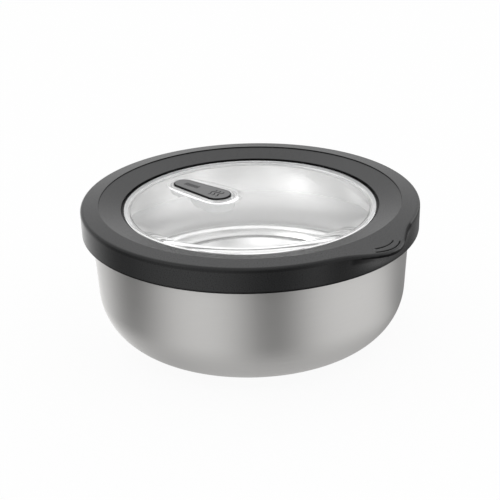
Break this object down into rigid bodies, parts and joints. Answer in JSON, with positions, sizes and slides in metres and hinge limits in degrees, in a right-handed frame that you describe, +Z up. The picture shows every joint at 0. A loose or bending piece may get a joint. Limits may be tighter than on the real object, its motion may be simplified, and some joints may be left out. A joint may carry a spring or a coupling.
{
  "type": "food storage container",
  "caption": "Round steel food bowl with a rounded bottom, closed by a clear window lid with a soft dark rim, a peel tab and a rocking steam vent",
  "frame": {"origin": "centre of the bowl's flat underside", "axes": "+Z up out of the bowl, +X towards the peel tab; the steam vent lies on the -X side"},
  "size_m": [0.1852, 0.176, 0.0747],
  "materials": {
    "steel": "satin outside, polished inside",
    "rim_plastic": "matt soft rubbery plastic",
    "clear_plastic": "clear, glossy",
    "vent_plastic": "matt",
    "silicone": "matt silicone"
  },
  "bodies": {
    "bowl": {"bowl": "steel"},
    "lid": {"lid_rim": "rim_plastic", "lid_window": "clear_plastic", "seal_ring": "silicone"},
    "rocker": {"vent_rocker": "vent_plastic", "vent_stopper": "silicone"}
  },
  "joints": [
    {"name": "lid_lift", "type": "slide", "parent": "bowl", "child": "lid", "axis": [0, 0, 1], "range_m": [0, 0.08]},
    {"name": "vent_rock", "type": "hinge", "parent": "lid", "child": "rocker", "pos_m": [-0.0411, 0, 0.07], "axis": [0, 1, 0], "range_deg": [0, 12]}
  ]
}
